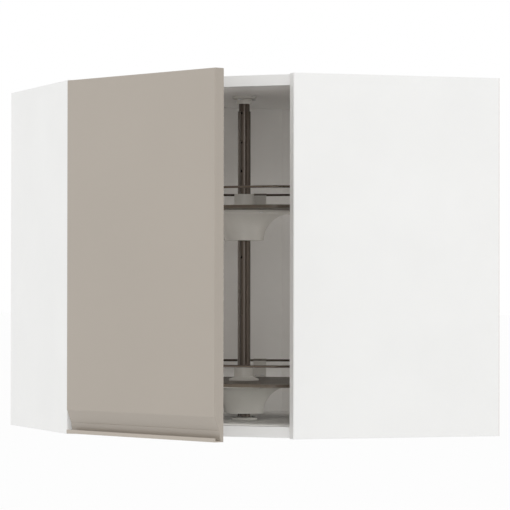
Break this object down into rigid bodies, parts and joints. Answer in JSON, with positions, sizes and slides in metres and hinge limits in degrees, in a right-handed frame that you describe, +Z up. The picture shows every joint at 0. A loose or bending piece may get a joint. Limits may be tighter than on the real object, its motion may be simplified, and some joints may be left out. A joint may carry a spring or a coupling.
{
  "type": "corner carousel cabinet",
  "caption": "Corner wall cabinet with a diagonal hinged door and finger grip, and two railed trays, round with a straight front edge, that turn on a fixed pole.",
  "frame": {"origin": "on the underside of the bottom panel, on the axis that the trays turn about", "axes": "+Z up; the diagonal front faces -Y and the room corner lies on +Y; +X is to the right seen from the front"},
  "size_m": [0.9418, 0.8036, 0.6],
  "materials": {
    "white_board": "satin white foil on particle board",
    "door_foil": "satin beige-grey foil",
    "bronze_steel": "dark brown semi-gloss coat",
    "tray_board": "dark brown satin melamine",
    "grey_plastic": "fine moulded light grey",
    "zinc_steel": "zinc plated",
    "birch": "raw turned wood",
    "bumper": "soft translucent grey"
  },
  "bodies": {
    "root": {"side_panel_left": "white_board", "side_panel_right": "white_board", "top_panel": "white_board", "bottom_panel": "white_board", "back_panel_left": "white_board", "back_panel_right": "white_board", "back_panel_corner": "white_board", "dowels": "birch", "cam_bolts": "zinc_steel", "cam_locks": "zinc_steel", "hanger_left": "zinc_steel", "hanger_right": "zinc_steel", "hanger_screws": "zinc_steel", "top_flange": "grey_plastic", "bottom_flange": "grey_plastic", "flange_screws": "zinc_steel", "pole_outer": "bronze_steel", "pole_inner": "bronze_steel", "support_pin_upper": "zinc_steel", "support_pin_lower": "zinc_steel", "thrust_washer_upper": "grey_plastic", "thrust_washer_lower": "grey_plastic", "hinge_base_upper": "zinc_steel", "hinge_base_lower": "zinc_steel", "hinge_base_pins": "zinc_steel", "hinge_base_screws": "zinc_steel"},
    "hinge_arms": {"hinge_arm_upper": "zinc_steel", "hinge_arm_lower": "zinc_steel"},
    "door": {"door_panel": "door_foil", "grip_profile": "door_foil", "door_bumpers": "bumper", "hinge_cup_upper": "zinc_steel", "hinge_cup_lower": "zinc_steel", "hinge_cup_pins": "zinc_steel", "hinge_cup_screws": "zinc_steel"},
    "upper_carousel": {"upper_tray": "tray_board", "upper_rail": "bronze_steel", "upper_brackets": "grey_plastic", "upper_bracket_screws": "zinc_steel", "upper_hub": "grey_plastic", "upper_hub_screws": "zinc_steel", "upper_bush": "grey_plastic", "upper_collar": "grey_plastic"},
    "lower_carousel": {"lower_tray": "tray_board", "lower_rail": "bronze_steel", "lower_brackets": "grey_plastic", "lower_bracket_screws": "zinc_steel", "lower_hub": "grey_plastic", "lower_hub_screws": "zinc_steel", "lower_bush": "grey_plastic", "lower_collar": "grey_plastic"}
  },
  "joints": [
    {"name": "hinge_arm_swing", "type": "hinge", "parent": "root", "child": "hinge_arms", "pos_m": [-0.23476, -0.1924, 0.3], "axis": [0, 0, -1], "range_deg": [-5.46, 15.45]},
    {"name": "door_swing", "type": "hinge", "parent": "hinge_arms", "child": "door", "pos_m": [-0.19446, -0.25711, 0.3], "axis": [0, 0, -1], "range_deg": [-19.34, 54.76]},
    {"name": "upper_tray_turn", "type": "hinge", "parent": "root", "child": "upper_carousel", "pos_m": [0, 0, 0.3801], "axis": [0, 0, 1], "continuous": true},
    {"name": "lower_tray_turn", "type": "hinge", "parent": "root", "child": "lower_carousel", "pos_m": [0, 0, 0.0801], "axis": [0, 0, 1], "continuous": true}
  ],
  "couplings": [
    {"joint": "hinge_arm_swing", "follows": "door_swing", "ratio": 0.28205}
  ]
}
